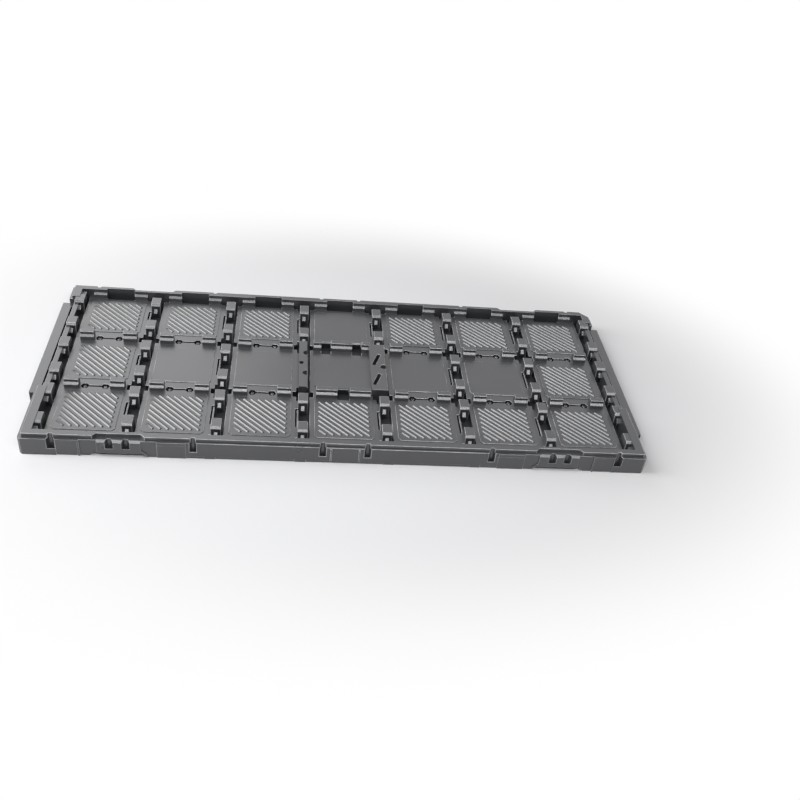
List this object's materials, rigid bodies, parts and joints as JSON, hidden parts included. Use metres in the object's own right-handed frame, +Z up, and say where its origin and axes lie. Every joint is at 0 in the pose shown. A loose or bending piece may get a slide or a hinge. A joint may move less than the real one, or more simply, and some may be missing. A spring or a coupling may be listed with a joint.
{
  "type": "ic matrix tray",
  "caption": "Stackable moulded tray for square chip packages: a grid of pockets with ribbed floors and stops on every divider, a stacking lip, end tabs and notched long walls.",
  "frame": {"origin": "middle of the tray's outline, on the plane of the skirt's bottom edge", "axes": "+X along the tray, +Y from the front long wall to the back one, +Z up out of the pockets; the cut corner is at +X +Y"},
  "size_m": [0.3226, 0.136, 0.0122],
  "materials": {
    "conductive_plastic": "semi-gloss moulded, carbon filled, dark grey"
  },
  "bodies": {
    "root": {"matrix_tray": "conductive_plastic"}
  },
  "joints": []
}
